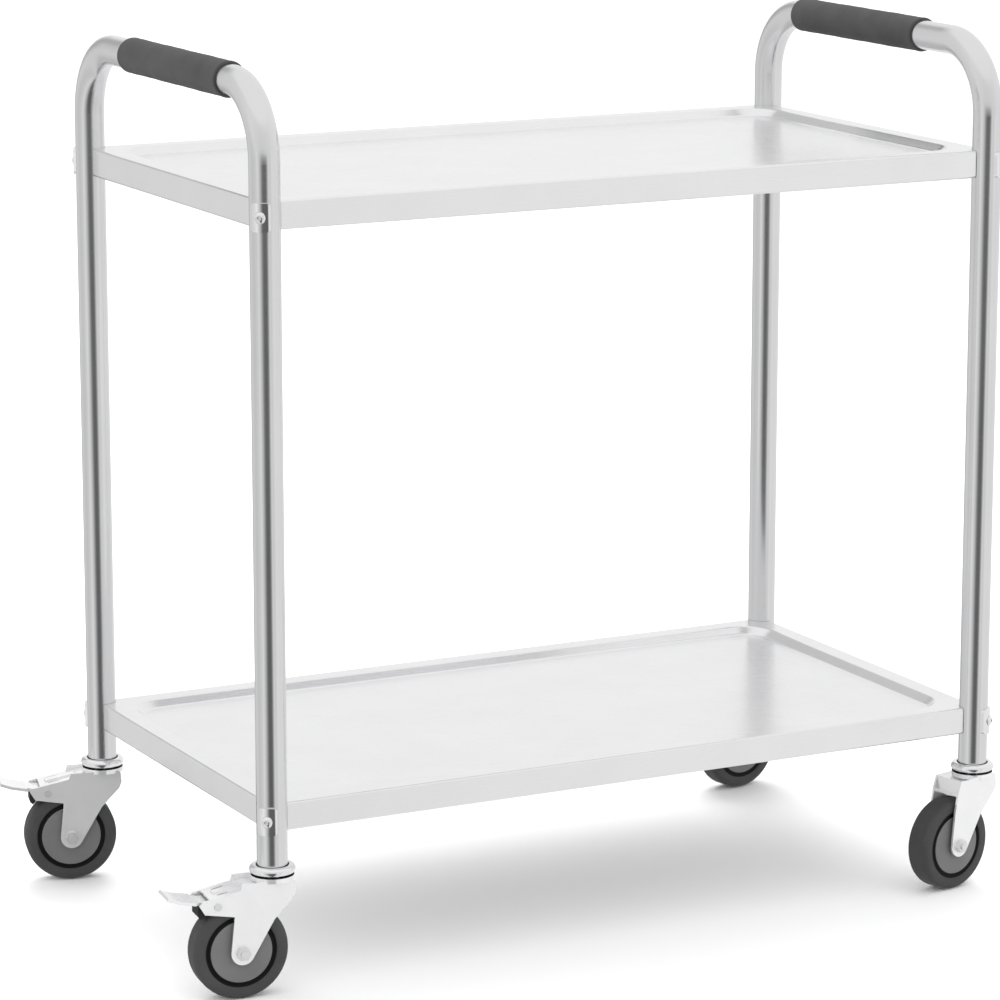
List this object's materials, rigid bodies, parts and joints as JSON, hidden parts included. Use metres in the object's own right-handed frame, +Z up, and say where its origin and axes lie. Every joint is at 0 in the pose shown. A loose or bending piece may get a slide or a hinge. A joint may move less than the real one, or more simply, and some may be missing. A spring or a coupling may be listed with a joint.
{
  "type": "instrument cart",
  "caption": "Tiered steel instrument cart: bent tube end frames with foam push grips, recessed shelves, and swivel casters braked at one end.",
  "frame": {"origin": "on the floor under the centre of the four legs", "axes": "+X along the cart's length away from the braked end, +Y across its width, +Z up"},
  "size_m": [0.9961, 0.5446, 0.953],
  "materials": {
    "tube_steel": "brushed along the tube",
    "shelf_steel": "fine satin",
    "bright_plate": "bright zinc plate",
    "hardware_steel": "bright",
    "grip_foam": "matt foam",
    "black_plastic": "matt",
    "tyre_grey": "matt",
    "cover_grey": "matt",
    "shoe_rubber": "matt"
  },
  "bodies": {
    "frame": {"left_frame_tube": "tube_steel", "right_frame_tube": "tube_steel", "left_grip": "grip_foam", "right_grip": "grip_foam", "top_shelf": "shelf_steel", "bottom_shelf": "shelf_steel", "top_brackets": "shelf_steel", "bottom_brackets": "shelf_steel", "top_saddle_washers": "hardware_steel", "bottom_saddle_washers": "hardware_steel", "top_bolts": "hardware_steel", "bottom_bolts": "hardware_steel", "top_nuts": "hardware_steel", "bottom_nuts": "hardware_steel", "leg_inserts": "black_plastic", "front_left_stem": "bright_plate", "back_left_stem": "bright_plate", "front_right_stem": "bright_plate", "back_right_stem": "bright_plate"},
    "front_left_swivel": {"front_left_seal": "black_plastic", "front_left_balls": "hardware_steel", "front_left_fork": "bright_plate", "front_left_axle": "hardware_steel", "front_left_bush": "hardware_steel", "front_left_pin": "hardware_steel"},
    "front_left_wheel": {"front_left_core": "black_plastic", "front_left_tyre": "tyre_grey", "front_left_covers": "cover_grey"},
    "front_left_brake": {"front_left_pedal": "bright_plate", "front_left_shoe": "shoe_rubber"},
    "back_left_swivel": {"back_left_seal": "black_plastic", "back_left_balls": "hardware_steel", "back_left_fork": "bright_plate", "back_left_axle": "hardware_steel", "back_left_bush": "hardware_steel", "back_left_pin": "hardware_steel"},
    "back_left_wheel": {"back_left_core": "black_plastic", "back_left_tyre": "tyre_grey", "back_left_covers": "cover_grey"},
    "back_left_brake": {"back_left_pedal": "bright_plate", "back_left_shoe": "shoe_rubber"},
    "front_right_swivel": {"front_right_seal": "black_plastic", "front_right_balls": "hardware_steel", "front_right_fork": "bright_plate", "front_right_axle": "hardware_steel", "front_right_bush": "hardware_steel"},
    "front_right_wheel": {"front_right_core": "black_plastic", "front_right_tyre": "tyre_grey", "front_right_covers": "cover_grey"},
    "back_right_swivel": {"back_right_seal": "black_plastic", "back_right_balls": "hardware_steel", "back_right_fork": "bright_plate", "back_right_axle": "hardware_steel", "back_right_bush": "hardware_steel"},
    "back_right_wheel": {"back_right_core": "black_plastic", "back_right_tyre": "tyre_grey", "back_right_covers": "cover_grey"}
  },
  "joints": [
    {"name": "front_left_swivel_turn", "type": "hinge", "parent": "frame", "child": "front_left_swivel", "pos_m": [-0.427, -0.231, 0.123], "axis": [0, 0, 1], "continuous": true},
    {"name": "front_left_wheel_spin", "type": "hinge", "parent": "front_left_swivel", "child": "front_left_wheel", "pos_m": [-0.46472, -0.22637, 0.051], "axis": [-0.1219, -0.9925, 0], "continuous": true},
    {"name": "front_left_brake_press", "type": "hinge", "parent": "front_left_swivel", "child": "front_left_brake", "pos_m": [-0.49052, -0.2232, 0.103], "axis": [-0.1219, -0.9925, 0], "range_deg": [0, 13]},
    {"name": "back_left_swivel_turn", "type": "hinge", "parent": "frame", "child": "back_left_swivel", "pos_m": [-0.427, 0.231, 0.123], "axis": [0, 0, 1], "continuous": true},
    {"name": "back_left_wheel_spin", "type": "hinge", "parent": "back_left_swivel", "child": "back_left_wheel", "pos_m": [-0.4637, 0.24083, 0.051], "axis": [-0.2588, -0.9659, 0], "continuous": true},
    {"name": "back_left_brake_press", "type": "hinge", "parent": "back_left_swivel", "child": "back_left_brake", "pos_m": [-0.48882, 0.24756, 0.103], "axis": [-0.2588, -0.9659, 0], "range_deg": [0, 13]},
    {"name": "front_right_swivel_turn", "type": "hinge", "parent": "frame", "child": "front_right_swivel", "pos_m": [0.427, -0.231, 0.123], "axis": [0, 0, 1], "continuous": true},
    {"name": "front_right_wheel_spin", "type": "hinge", "parent": "front_right_swivel", "child": "front_right_wheel", "pos_m": [0.39013, -0.24019, 0.051], "axis": [0.2419, -0.9703, 0], "continuous": true},
    {"name": "back_right_swivel_turn", "type": "hinge", "parent": "frame", "child": "back_right_swivel", "pos_m": [0.427, 0.231, 0.123], "axis": [0, 0, 1], "continuous": true},
    {"name": "back_right_wheel_spin", "type": "hinge", "parent": "back_right_swivel", "child": "back_right_wheel", "pos_m": [0.38958, 0.2244, 0.051], "axis": [0.1736, -0.9848, 0], "continuous": true}
  ]
}
